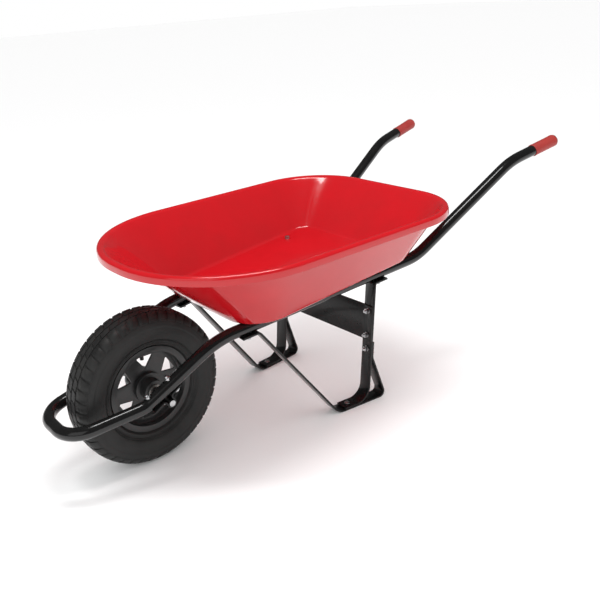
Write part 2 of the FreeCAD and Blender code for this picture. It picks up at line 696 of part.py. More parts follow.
# ---- tray ----------------------------------------------------------------------------------------------
class Outline:
    """Rounded four-sided outline in a plane that slopes up towards the rear."""

    def __init__(self, anchor, slope, front_y, rear_y, front_half, rear_half, front_corner,
                 rear_corner):
        self.anchor = anchor
        self.slope = slope
        self.front = (front_y - anchor.y) / math.cos(slope)
        self.rear = (rear_y - anchor.y) / math.cos(slope)
        self.front_half = front_half
        self.rear_half = rear_half
        self.front_corner = front_corner
        self.rear_corner = rear_corner

    def wire(self, inset=0.0, lift=0.0):
        front, rear = self.front + inset, self.rear - inset
        wide_front, wide_rear = self.front_half - inset, self.rear_half - inset
        corners = [(wide_rear, rear), (wide_front, front), (-wide_front, front), (-wide_rear, rear)]
        radii = [self.rear_corner - inset, self.front_corner - inset,
                 self.front_corner - inset, self.rear_corner - inset]
        wire = rounded_wire([Vector(x, v, lift) for x, v in corners], radii)
        wire.Placement = Placement(self.anchor, Rotation(X_AXIS, math.degrees(self.slope)))
        return wire

    def normal(self):
        return Rotation(X_AXIS, math.degrees(self.slope)).multVec(Z_AXIS)


def floor_outline():
    slope = math.atan2(REAR_BEND[2] - FRONT_BEND[2], REAR_BEND[1] - FRONT_BEND[1])
    lift = (TUBE_RADIUS + 2 * SEAT_GAP) / math.cos(slope)
    anchor = Vector(0, FRONT_BEND[1], FRONT_BEND[2] + lift)
    return Outline(anchor, slope, FLOOR_FRONT_Y, FLOOR_REAR_Y, FLOOR_HALF_WIDTH_FRONT,
                   FLOOR_HALF_WIDTH_REAR, FLOOR_FRONT_CORNER, FLOOR_REAR_CORNER)


def lip_outline():
    slope = math.atan2(LIP_REAR_Z - LIP_FRONT_Z, LIP_REAR_Y - LIP_FRONT_Y)
    anchor = Vector(0, LIP_FRONT_Y, LIP_FRONT_Z)
    return Outline(anchor, slope, LIP_FRONT_Y, LIP_REAR_Y, LIP_HALF_WIDTH, LIP_HALF_WIDTH,
                   LIP_FRONT_CORNER, LIP_REAR_CORNER)


def tray():
    floor, lip = floor_outline(), lip_outline()
    down = lip.normal() * -1
    outside = Part.makeLoft([floor.wire(), lip.wire(LIP_WIDTH)], True, True)
    lip_face = Part.Face(lip.wire())
    behind_skirt = Part.Face(lip.wire(SHEET)).extrude(down * 2 * LIP_DROP)
    skirt = lip_face.extrude(down * LIP_DROP).cut(behind_skirt)
    body = outside.fuse(lip_face.extrude(down * SHEET)).fuse(skirt)
    room = Part.makeLoft([floor.wire(SHEET / 2, SHEET), lip.wire(LIP_WIDTH + SHEET, SEAT_GAP)],
                         True, True)
    body = body.cut(room)
    holes = []
    for centre, down in tray_bolt_axes():
        holes.append(bar(BOLT_RADIUS + HOLE_CLEARANCE, centre, centre - down * 2 * TUBE_RADIUS))
    return body.cut(both_sides(holes)).removeSplitter()


def tray_fasteners():
    """Bolts with their heads in the tray; they hold tray, tube and strap tabs together."""
    bolts, nuts, washers = [], [], []
    floor_top = TUBE_RADIUS + 2 * SEAT_GAP + SHEET
    tab_bottom = TUBE_RADIUS + SEAT_GAP + STRAP_THICKNESS
    for centre, down in tray_bolt_axes():
        washer_seat = centre - down * (floor_top + SEAT_GAP)
        washers.append(washer(washer_seat, down * -1))
        head_seat = washer_seat - down * (WASHER_THICKNESS + SEAT_GAP)
        reach = floor_top + tab_bottom + WASHER_THICKNESS + 3 * SEAT_GAP
        bolts.append(bolt(head_seat, down, reach + NUT_HEIGHT + THREAD_STICK_OUT))
        nuts.append(nut(centre + down * (tab_bottom + SEAT_GAP), down))
    return both_sides(bolts), both_sides(nuts), both_sides(washers)


# ---- all nodes --------------------------------------------------------------------------------------
def build():
    bracket_bolts, bracket_nuts = bracket_fasteners()
    leg_bolts, leg_nuts = leg_fasteners()
    tray_bolts, tray_nuts, tray_washers = tray_fasteners()
    nodes = {
        "frame_tube": frame_tube(),
        "tray": tray(),
        "leg_cross_plate": leg_cross_plate(),
        "tyre": tyre(),
        "inner_tube": inner_tube(),
        "wheel_rim": wheel_rim(),
        "valve_stem": valve_stem(),
        "valve_cap": valve_cap(),
        "axle": axle(),
        "axle_nuts": both_sides([axle_nut()]),
        "axle_washers": both_sides([axle_washer()]),
        "axle_bracket_bolts": bracket_bolts,
        "axle_bracket_nuts": bracket_nuts,
        "leg_bolts": leg_bolts,
        "leg_nuts": leg_nuts,
        "foot_rivets": foot_rivets(),
        "tray_bolts": tray_bolts,
        "tray_nuts": tray_nuts,
        "tray_washers": tray_washers,
    }
    pairs = {
        "grip": grip(),
        "axle_spacer": axle_spacer(),
        "axle_bracket": axle_bracket(),
        "leg_post": leg_post(),
        "foot_brace": foot_brace(),
        "wheel_bush": wheel_bush(),
    }
    for name, left in pairs.items():
        nodes[name + "_left"] = left
        nodes[name + "_right"] = mirrored(left)
    return nodes


def footprint_centre(nodes):
    """Y of the middle of the whole barrow: the nose of the tube to the ends of the grips."""
    nose = nodes["frame_tube"].optimalBoundingBox().YMin
    grip_end = nodes["grip_left"].optimalBoundingBox().YMax
    return (nose + grip_end) / 2


def main():
    nodes = build()
    shift = Y_AXIS * -footprint_centre(nodes)
    os.makedirs("parts", exist_ok=True)
    for name, shape in nodes.items():
        placed = shape.copy()
        placed.translate(shift)
        placed.exportStep("parts/%s.step" % name)
        print("%-22s solids %2d  valid %s  volume %.1f cm3"
              % (name, len(placed.Solids), placed.isValid(), placed.Volume / 1000))
    print("axle at Y %.4f" % shift.y)


main()
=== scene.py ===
"""Looks of a steel wheelbarrow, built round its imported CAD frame.

Metres, +Z up, the ground at Z = 0.  The wheel is at the -Y end and the grips are at the +Y end.
"""
import json
import logging
import math
from contextlib import contextmanager
from dataclasses import dataclass
from enum import Enum
from typing import Callable, Iterator, Sequence

import bmesh
import bpy
import numpy as np
from mathutils import Matrix, Vector


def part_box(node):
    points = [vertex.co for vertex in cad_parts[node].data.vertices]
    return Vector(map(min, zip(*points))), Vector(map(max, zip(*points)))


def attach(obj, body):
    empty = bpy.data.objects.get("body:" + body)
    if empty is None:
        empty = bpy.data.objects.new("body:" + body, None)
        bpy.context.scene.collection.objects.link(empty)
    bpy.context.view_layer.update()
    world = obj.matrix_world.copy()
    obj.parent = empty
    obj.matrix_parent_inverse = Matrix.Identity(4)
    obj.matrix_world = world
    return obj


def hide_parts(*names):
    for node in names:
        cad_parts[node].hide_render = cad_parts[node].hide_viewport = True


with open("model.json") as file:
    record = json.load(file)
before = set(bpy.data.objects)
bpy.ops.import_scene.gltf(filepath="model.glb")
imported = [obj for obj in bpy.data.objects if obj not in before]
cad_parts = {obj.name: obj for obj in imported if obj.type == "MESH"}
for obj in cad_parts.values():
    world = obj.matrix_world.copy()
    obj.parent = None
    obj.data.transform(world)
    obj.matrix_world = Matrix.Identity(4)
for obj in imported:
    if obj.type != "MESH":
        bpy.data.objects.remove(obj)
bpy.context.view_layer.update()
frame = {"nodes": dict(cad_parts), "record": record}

LOG = logging.getLogger("wheelbarrow")
Colour = tuple[float, float, float]
Point = tuple[float, float, float]
Pair = tuple[float, float]

# What wear and dust do to a finish: dust's colour, and the roughness that each adds.
DUST_COLOUR: Colour = (0.36, 0.34, 0.31)
WORN_ROUGHNESS = 0.25
DUSTY_ROUGHNESS = 0.5

# Points closer than this are one, faces flatter than this join, edges sharper than this are
# rounded, and a rounding takes at most this share of the line beside it.
DOUBLES_APART = 1e-7
CAD_DOUBLES_APART = 2e-6
FLAT_WITHIN = math.radians(0.6)
HARD_EDGE = math.radians(32)
LONGEST_REACH = 0.48


# ---- node trees ----
class Canvas:
    """Adds and joins nodes in one node tree."""

    def __init__(self, tree: bpy.types.NodeTree) -> None:
        """Starts on an empty tree.

        Args:
            tree: the shader or geometry tree to fill.
        """
        self.tree = tree
        self.tree.nodes.clear()

    def add(self, kind: str, settings: dict | None = None, **values: object) -> bpy.types.Node:
        """Adds one node.

        Args:
            kind: the node's type name.
            settings: the node's own properties.
            **values: default values or sources, by input name with _ for a space.

        Returns:
            The new node.
        """
        node = self.tree.nodes.new(kind)
        for key, value in (settings or {}).items():
            setattr(node, key, value)
        for key, value in values.items():
            self.feed(node.inputs[key.replace("_", " ")], value)
        return node

    def feed(self, socket: bpy.types.NodeSocket, value: object) -> None:
        """Joins a source socket to an input, or sets the input's value.

        Args:
            socket: the input.
            value: a source socket or a plain value.
        """
        if isinstance(value, bpy.types.NodeSocket):
            self.tree.links.new(value, socket)
        else:
            socket.default_value = value

    def math(self, operation: str, *values: object) -> bpy.types.NodeSocket:
        """Adds a Math node.

        Args:
            operation: the node's operation.
            *values: its inputs in order, as sources or numbers.

        Returns:
            The node's result.
        """
        node = self.add("ShaderNodeMath", {"operation": operation})
        for socket, value in zip(node.inputs, values):
            self.feed(socket, value)
        return node.outputs[0]

    def blend(self, factor: object, first: object, second: object) -> bpy.types.NodeSocket:
        """Mixes two colours.

        Args:
            factor: share of the second colour.
            first: the colour at 0.
            second: the colour at 1.

        Returns:
            The mixed colour.
        """
        node = self.add("ShaderNodeMix", {"data_type": "RGBA"})
        sockets = [s for s in node.inputs if s.enabled]
        for socket, value in zip(sockets, (factor, first, second)):
            self.feed(socket, value)
        return next(s for s in node.outputs if s.enabled)

    def remap(self, value: object, low: float, high: float, new_low: float = 0.0,
              new_high: float = 1.0) -> bpy.types.NodeSocket:
        """Stretches a value from one range to another.

        Args:
            value: the source.
            low: start of the old range.
            high: end of the old range.
            new_low: start of the new range.
            new_high: end of the new range.

        Returns:
            The stretched value.
        """
        node = self.add("ShaderNodeMapRange")
        for socket, item in zip(node.inputs, (value, low, high, new_low, new_high)):
            self.feed(socket, item)
        return node.outputs[0]


class Effect(Enum):
    """Shader groups that several finishes share."""

    GRAIN = "surface_grain"
    WEAR = "edge_wear"
    DUST = "dust_film"


class EffectShelf:
    """Builds each shared shader group once and hands it out."""

    def __init__(self) -> None:
        """Builds every group."""
        self.groups = {
            Effect.GRAIN: self._grain(),
            Effect.WEAR: self._wear(),
            Effect.DUST: self._dust(),
        }

    @staticmethod
    def _start(effect: Effect, inputs: dict[str, float], outputs: Sequence[str]
               ) -> tuple[bpy.types.NodeTree, Canvas, bpy.types.Node, bpy.types.Node]:
        """Makes an empty group with float inputs and outputs.

        Args:
            effect: which group.
            inputs: default value of each input by name.
            outputs: names of the outputs.

        Returns:
            The tree, its canvas, its input node and its output node.
        """
        tree = bpy.data.node_groups.new(effect.value, "ShaderNodeTree")
        for key, value in inputs.items():
            socket = tree.interface.new_socket(key, in_out="INPUT", socket_type="NodeSocketFloat")
            socket.default_value = value
        for key in outputs:
            tree.interface.new_socket(key, in_out="OUTPUT", socket_type="NodeSocketFloat")
        canvas = Canvas(tree)
        return tree, canvas, canvas.add("NodeGroupInput"), canvas.add("NodeGroupOutput")

    def _grain(self) -> bpy.types.NodeTree:
        """Builds the fine skin of a coating or moulding, and a slow change of tone.

        Returns:
            The group, with Height and Tone as outputs.
        """
        tree, canvas, source, sink = self._start(
            Effect.GRAIN, {"Scale": 400.0, "Tone Scale": 12.0, "Stretch": 1.0},
            ("Height", "Tone"))
        place = canvas.add("ShaderNodeTexCoord").outputs["Object"]
        scale = canvas.add("ShaderNodeCombineXYZ", X=1.0, Y=source.outputs["Stretch"], Z=1.0)
        stretched = canvas.add("ShaderNodeVectorMath", {"operation": "MULTIPLY"})
        canvas.feed(stretched.inputs[0], place)
        canvas.feed(stretched.inputs[1], scale.outputs[0])
        fine = canvas.add("ShaderNodeTexNoise", Vector=stretched.outputs[0],
                          Scale=source.outputs["Scale"], Detail=2.0, Roughness=0.55)
        slow = canvas.add("ShaderNodeTexNoise", Vector=place, Scale=source.outputs["Tone Scale"],
                          Detail=4.0, Roughness=0.6)
        canvas.feed(sink.inputs["Height"], fine.outputs["Fac"])
        canvas.feed(sink.inputs["Tone"], canvas.remap(slow.outputs["Fac"], low=0.3, high=0.7))
        return tree

    def _wear(self) -> bpy.types.NodeTree:
        """Builds the mask of rubbed edges.

        Returns:
            The group, with Mask as its output.
        """
        tree, canvas, source, sink = self._start(
            Effect.WEAR, {"Amount": 0.3, "Scale": 60.0}, ("Mask",))
        point = canvas.add("ShaderNodeNewGeometry").outputs["Pointiness"]
        place = canvas.add("ShaderNodeTexCoord").outputs["Object"]
        patches = canvas.add("ShaderNodeTexNoise", Vector=place, Scale=source.outputs["Scale"],
                             Detail=5.0, Roughness=0.7)
        edge = canvas.remap(point, low=0.54, high=0.66)
        broken = canvas.remap(patches.outputs["Fac"], low=0.45, high=0.62)
        mask = canvas.math("MULTIPLY", canvas.math("MULTIPLY", edge, broken),
                           source.outputs["Amount"])
        canvas.feed(sink.inputs["Mask"], mask)
        return tree

    def _dust(self) -> bpy.types.NodeTree:
        """Builds the mask of dust that settles on faces that look up.

        Returns:
            The group, with Mask as its output.
        """
        tree, canvas, source, sink = self._start(
            Effect.DUST, {"Amount": 0.1, "Scale": 25.0}, ("Mask",))
        normal = canvas.add("ShaderNodeNewGeometry").outputs["Normal"]
        up = canvas.add("ShaderNodeSeparateXYZ", Vector=normal).outputs["Z"]
        place = canvas.add("ShaderNodeTexCoord").outputs["Object"]
        cloud = canvas.add("ShaderNodeTexNoise", Vector=place, Scale=source.outputs["Scale"],
                           Detail=6.0, Roughness=0.65)
        facing = canvas.remap(up, low=-0.2, high=1.0, new_low=0.15)
        spread = canvas.remap(cloud.outputs["Fac"], low=0.35, high=0.75)
        mask = canvas.math("MULTIPLY", canvas.math("MULTIPLY", facing, spread),
                           source.outputs["Amount"])
        canvas.feed(sink.inputs["Mask"], mask)
        return tree

    def place(self, canvas: Canvas, effect: Effect, **values: float) -> bpy.types.Node:
        """Puts one group into a material.

        Args:
            canvas: the material's canvas.
            effect: which group.
            **values: its input values, by name with _ for a space.

        Returns:
            The group node.
        """
        return canvas.add("ShaderNodeGroup", {"node_tree": self.groups[effect]}, **values)


# ---- finishes ----
@dataclass(frozen=True)
class Finish:
    """How one surface looks.

    Attributes:
        name: the material's name.
        colour: main colour, linear.
        shade: second colour that the main one drifts to.
        roughness: lowest and highest roughness.
        metallic: 1 for bare metal.
        coat: weight of a clear top layer.
        coat_roughness: roughness of that layer.
        grain_scale: size of the fine skin, larger is finer.
        grain_height: depth of the fine skin in metres.
        stretch: how far the skin is drawn out, for brushed metal.
        wear: amount of rubbed edges.
        wear_colour: what shows at rubbed edges.
        dust: amount of dust.
        specular: strength of the base reflection.
    """

    name: str
    colour: Colour
    shade: Colour
    roughness: Pair
    metallic: float = 0.0
    coat: float = 0.0
    coat_roughness: float = 0.05
    grain_scale: float = 500.0
    grain_height: float = 0.00002
    stretch: float = 1.0
    wear: float = 0.0
    wear_colour: Colour = (0.35, 0.35, 0.36)
    dust: float = 0.0
    specular: float = 0.5

    def build(self, shelf: EffectShelf) -> bpy.types.Material:
        """Builds the material.

        Args:
            shelf: the shared shader groups.

        Returns:
            The new material.
        """
        material = bpy.data.materials.new(self.name)
        material.use_nodes = True
        canvas = Canvas(material.node_tree)
        grain = shelf.place(canvas, Effect.GRAIN, Scale=self.grain_scale, Stretch=self.stretch)
        colour = canvas.blend(grain.outputs["Tone"], (*self.colour, 1.0), (*self.shade, 1.0))
        rough = canvas.remap(grain.outputs["Tone"], 0.0, 1.0, *self.roughness)
        if self.wear > 0:
            wear = shelf.place(canvas, Effect.WEAR, Amount=self.wear).outputs["Mask"]
            colour = canvas.blend(wear, colour, (*self.wear_colour, 1.0))
            rough = canvas.math("ADD", rough, canvas.math("MULTIPLY", wear, WORN_ROUGHNESS))
        if self.dust > 0:
            dust = shelf.place(canvas, Effect.DUST, Amount=self.dust).outputs["Mask"]
            colour = canvas.blend(dust, colour, (*DUST_COLOUR, 1.0))
            rough = canvas.math("ADD", rough, canvas.math("MULTIPLY", dust, DUSTY_ROUGHNESS))
        bump = canvas.add("ShaderNodeBump", Strength=1.0, Distance=self.grain_height,
                          Height=grain.outputs["Height"])
        shader = canvas.add("ShaderNodeBsdfPrincipled", Base_Color=colour, Roughness=rough,
                            Metallic=self.metallic, Normal=bump.outputs["Normal"],
                            Coat_Weight=self.coat, Coat_Roughness=self.coat_roughness,
                            Specular_IOR_Level=self.specular)
        sink = canvas.add("ShaderNodeOutputMaterial")
        canvas.feed(sink.inputs["Surface"], shader.outputs[0])
        return material


class Slot(Enum):
    """Material slots of the record, each with its finish."""

    FRAME = "frame_paint"
    BRACKET = "bracket_paint"
    LEG = "leg_paint"
    TRAY = "tray_paint"
    GRIP = "grip"
    AXLE = "axle_steel"
    SPACER = "spacer"
    ZINC = "zinc"
    RIM = "rim"
    TYRE = "tyre"
    INNER_TUBE = "inner_tube"
    BUSH = "bush"
    VALVE = "valve_rubber"
    CAP = "valve_cap"


BLACK_PAINT = dict(colour=(0.004, 0.004, 0.0042), shade=(0.006, 0.006, 0.006),
                   grain_scale=320.0, grain_height=0.00003, wear=0.12,
                   wear_colour=(0.06, 0.06, 0.06), dust=0.012)
FINISHES = {
    Slot.FRAME: Finish("gloss_black_tube", roughness=(0.14, 0.2), coat=0.3,
                       coat_roughness=0.04, specular=0.4, **BLACK_PAINT),
    Slot.BRACKET: Finish("gloss_black_bracket", roughness=(0.24, 0.32), coat=0.15,
                         specular=0.25, **BLACK_PAINT),
    Slot.LEG: Finish("gloss_black_strap", roughness=(0.24, 0.34), coat=0.15,
                     specular=0.25, **BLACK_PAINT),
    Slot.TRAY: Finish("gloss_red_tray", (0.50, 0.006, 0.011), (0.46, 0.005, 0.009),
                      roughness=(0.12, 0.18), coat=0.4, coat_roughness=0.04, grain_scale=220.0,
                      grain_height=0.00003, wear=0.12, wear_colour=(0.35, 0.02, 0.02)),
    Slot.GRIP: Finish("dull_red_grip", (0.36, 0.024, 0.018), (0.31, 0.018, 0.015), (0.45, 0.58),
                      grain_scale=900.0, grain_height=0.00008, dust=0.05),
    Slot.AXLE: Finish("plated_axle", (0.55, 0.56, 0.57), (0.42, 0.42, 0.42), (0.25, 0.42),
                      metallic=1.0, grain_scale=300.0, stretch=12.0),
    Slot.SPACER: Finish("black_spacer", (0.02, 0.02, 0.02), (0.028, 0.028, 0.028), (0.4, 0.5)),
    Slot.ZINC: Finish("bright_zinc", (0.66, 0.67, 0.68), (0.5, 0.51, 0.52), (0.2, 0.38),
                      metallic=1.0, grain_scale=700.0, grain_height=0.00003),
    Slot.RIM: Finish("satin_black_rim", (0.012, 0.0123, 0.0125), (0.016, 0.016, 0.016),
                     (0.34, 0.46), coat=0.15, coat_roughness=0.3, grain_scale=420.0,
                     grain_height=0.00005, wear=0.2, wear_colour=(0.08, 0.08, 0.08), dust=0.03),
    Slot.TYRE: Finish("black_tyre_rubber", (0.010, 0.010, 0.010), (0.014, 0.014, 0.0135),
                      (0.45, 0.6), grain_scale=1400.0, grain_height=0.0001, wear=0.3,
                      wear_colour=(0.03, 0.03, 0.029), dust=0.05, specular=0.35),
    Slot.INNER_TUBE: Finish("butyl_tube", (0.015, 0.015, 0.015), (0.02, 0.02, 0.02), (0.5, 0.6)),
    Slot.BUSH: Finish("sintered_bush", (0.30, 0.29, 0.27), (0.22, 0.21, 0.20), (0.4, 0.55),
                      metallic=1.0),
    Slot.VALVE: Finish("valve_rubber", (0.015, 0.015, 0.015), (0.02, 0.02, 0.02), (0.5, 0.6)),
    Slot.CAP: Finish("valve_cap", (0.012, 0.012, 0.012), (0.018, 0.018, 0.018), (0.35, 0.45)),
}


# ---- making pieces ----
@contextmanager
def edited(source: bpy.types.Mesh, target: bpy.types.Mesh) -> Iterator[bmesh.types.BMesh]:
    """Opens a mesh for editing.

    Args:
        source: the mesh to start from.
        target: the mesh that takes the result.

    Yields:
        The open mesh.
    """
    solid = bmesh.new()
    solid.from_mesh(source)
    yield solid
    solid.to_mesh(target)
    solid.free()


def in_scene(name: str, data: bpy.types.ID) -> bpy.types.Object:
    """Puts a new object into the scene.

    Args:
        name: the object's name.
        data: its mesh, lamp or lens.

    Returns:
        The new object.
    """
    thing = bpy.data.objects.new(name, data)
    bpy.context.scene.collection.objects.link(thing)
    return thing


class Workshop:
    """Makes, dresses and seats the pieces, and keeps the materials."""

    def __init__(self) -> None:
        """Builds every finish."""
        shelf = EffectShelf()
        self.materials = {slot: finish.build(shelf) for slot, finish in FINISHES.items()}
        self.slot_of = {row["node"]: Slot(row["material_slot"])
                        for row in frame["record"]["subparts"]}
        self.body_of = {node: body for body, nodes in
                        frame["record"]["behaviour"]["bodies"].items() for node in nodes}

    def new_piece(self, name: str, mesh: bpy.types.Mesh, slot: Slot) -> bpy.types.Object:
        """Puts a mesh into the scene with one finish.

        Args:
            name: the piece's name.
            mesh: its mesh, in the row frame.
            slot: the record's material slot.

        Returns:
            The new object.
        """
        mesh.materials.clear()
        mesh.materials.append(self.materials[slot])
        return in_scene(name, mesh)

    def seat(self, piece: bpy.types.Object, body: str, slot: Slot, *nodes: str) -> None:
        """Lets a piece ride on a body and hides the nodes it stands for.

        Args:
            piece: the finished piece.
            body: the CAD body it moves with.
            slot: the record's material slot; not used.
            *nodes: CAD nodes that it stands for.
        """
        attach(piece, body)
        if nodes:
            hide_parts(*nodes)
        LOG.info("%s: %d faces on %s", piece.name, len(piece.data.polygons), body)

    def baked(self, piece: bpy.types.Object) -> bpy.types.Object:
        """Turns a piece with modifiers into a plain mesh.

        Args:
            piece: an object with live modifiers.

        Returns:
            The same object with its modifiers applied and removed.
        """
        bpy.context.view_layer.update()
        graph = bpy.context.evaluated_depsgraph_get()
        mesh = bpy.data.meshes.new_from_object(piece.evaluated_get(graph), depsgraph=graph)
        piece.modifiers.clear()
        piece.data = mesh
        return piece

    def dress(self, node: str) -> None:
        """Gives a CAD node its finish and leaves its shape as it is.

        Args:
            node: the CAD node.
        """
        thing = frame["nodes"][node]
        thing.data.materials.clear()
        thing.data.materials.append(self.materials[self.slot_of[node]])
        LOG.info("%s: CAD shape kept", node)

    def soften(self, node: str, width: float, segments: int = 2) -> bpy.types.Object:
        """Copies a CAD node with its hard edges rounded off.

        Args:
            node: the CAD node.
            width: width of the rounding in metres.
            segments: how many faces each rounding has.

        Returns:
            The new piece, which stands for the node.
        """
        mesh = bpy.data.meshes.new(node + "_rounded")
        with edited(frame["nodes"][node].data, mesh) as solid:
            bmesh.ops.remove_doubles(solid, verts=solid.verts, dist=CAD_DOUBLES_APART)
            bmesh.ops.dissolve_limit(solid, angle_limit=FLAT_WITHIN, verts=solid.verts,
                                     edges=solid.edges)
            for face in solid.faces:
                face.smooth = True
        slot = self.slot_of[node]
        piece = self.new_piece(node + "_rounded", mesh, slot)
        edge = piece.modifiers.new("rounded edges", "BEVEL")
        edge.width = width
        edge.segments = segments
        edge.limit_method = "ANGLE"
        edge.angle_limit = HARD_EDGE
        edge.harden_normals = True
        self.baked(piece)
        self.seat(piece, self.body_of[node], slot, node)
        return piece


def mesh_from(name: str, points: np.ndarray, faces: Sequence[Sequence[int]],
              smooth_angle: float) -> bpy.types.Mesh:
    """Makes a mesh with merged doubles, outward faces and smooth shading.

    Args:
        name: the mesh's name.
        points: vertex places, one row each.
        faces: vertex numbers of each face.
        smooth_angle: edges sharper than this stay crisp, in degrees.

    Returns:
        The new mesh.
    """
    mesh = bpy.data.meshes.new(name)
    mesh.from_pydata([tuple(map(float, p)) for p in points], [], [tuple(f) for f in faces])
    with edited(mesh, mesh) as solid:
        bmesh.ops.remove_doubles(solid, verts=solid.verts, dist=DOUBLES_APART)
        bmesh.ops.recalc_face_normals(solid, faces=solid.faces)
        for face in solid.faces:
            face.smooth = True
    mesh.set_sharp_from_angle(angle=math.radians(smooth_angle))
    return mesh


def lathe(name: str, profile: Sequence[Pair], steps: int,
          place: Callable[[float, float, float], Vector], closed: bool,
          smooth_angle: float) -> bpy.types.Mesh:
    """Turns a profile round an axis.

    Args:
        name: the mesh's name.
        profile: (along, radius) pairs.
        steps: number of steps round the axis.
        place: maps (along, radius, angle) to a point.
        closed: True when the profile's last point joins its first.
        smooth_angle: edges sharper than this stay crisp, in degrees.

    Returns:
        The new mesh.
    """
    count = len(profile)
    points = [place(u, r, 2 * math.pi * k / steps) for k in range(steps) for u, r in profile]
    faces = []
    for k in range(steps):
        here, ahead = k * count, (k + 1) % steps * count
        for i in range(count if closed else count - 1):
            j = (i + 1) % count
            faces.append((here + i, here + j, ahead + j, ahead + i))
    return mesh_from(name, np.array(points), faces, smooth_angle)


def rounded(points: Sequence[np.ndarray], radii: Sequence[float], segments: int
            ) -> list[np.ndarray]:
    """Rounds the inner corners of an open line.

    Args:
        points: corner points.
        radii: rounding at each corner, 0 leaves it sharp.
        segments: steps in each rounding.

    Returns:
        Points along the rounded line, as many for every line with the same number of corners.
    """
    line = [points[0]]
    for index in range(1, len(points) - 1):
        corner, radius = points[index], radii[index]
        back, ahead = points[index - 1] - corner, points[index + 1] - corner
        reach_back, reach_ahead = np.linalg.norm(back), np.linalg.norm(ahead)
        back, ahead = back / reach_back, ahead / reach_ahead
        half = math.acos(float(np.clip(back @ ahead, -1, 1))) / 2
        reach = min(radius / math.tan(half), LONGEST_REACH * min(reach_back, reach_ahead))
        start, end = corner + back * reach, corner + ahead * reach
        bisector = (back + ahead) / np.linalg.norm(back + ahead)
        centre = corner + bisector * (reach / math.cos(half))
        spoke_a, spoke_b = start - centre, end - centre
        sweep = math.pi - 2 * half
        for step in range(segments + 1):
            share = step / segments
            turned = (math.sin((1 - share) * sweep) * spoke_a + math.sin(share * sweep) * spoke_b)
            line.append(centre + turned / math.sin(sweep))
    line.append(points[-1])
    return line


# ---- tray ----
@dataclass
class RoundedOutline:
    """Four-sided outline with round corners, in a plane that slopes up to the rear.

    Attributes:
        origin: a point of the plane on the middle line.
        slope: angle of the plane in radians.
        front: distance of the front edge along the plane.
        rear: distance of the rear edge along the plane.
        front_half: half width at the front.
        rear_half: half width at the rear.
        front_corner: radius of the front corners.
        rear_corner: radius of the rear corners.
    """

    origin: np.ndarray
    slope: float
    front: float
    rear: float
    front_half: float
    rear_half: float
    front_corner: float
    rear_corner: float

    def stations(self, inset: float, lift: float, corner_steps: int, side_steps: int
                 ) -> list[np.ndarray]:
        """Points round the outline, the same number and order for every outline.

        Args:
            inset: how far the outline is drawn in.
            lift: height above the plane.
            corner_steps: steps in each corner.
            side_steps: steps in each straight side.

        Returns:
            The points, counter-clockwise from above.
        """
        front, rear = self.front + inset, self.rear - inset
        wide_front, wide_rear = self.front_half - inset, self.rear_half - inset
        corners = [(wide_rear, rear), (-wide_rear, rear), (-wide_front, front),
                   (wide_front, front)]
        radii = [self.rear_corner - inset, self.rear_corner - inset,
                 self.front_corner - inset, self.front_corner - inset]
        arcs = []
        for index, corner in enumerate(corners):
            before, after = corners[index - 1], corners[(index + 1) % 4]
            line = rounded([np.array([*before, 0.0]), np.array([*corner, 0.0]),
                            np.array([*after, 0.0])], [0, radii[index], 0], corner_steps)
            arcs.append(line[1:-1])
        flat = []
        for index, arc in enumerate(arcs):
            flat.extend(arc)
            start, end = arc[-1], arcs[(index + 1) % 4][0]
            for step in range(1, side_steps):
                flat.append(start + (end - start) * step / side_steps)
        along, up = math.cos(self.slope), math.sin(self.slope)
        return [self.origin + np.array([p[0], p[1] * along - lift * up, p[1] * up + lift * along])
                for p in flat]


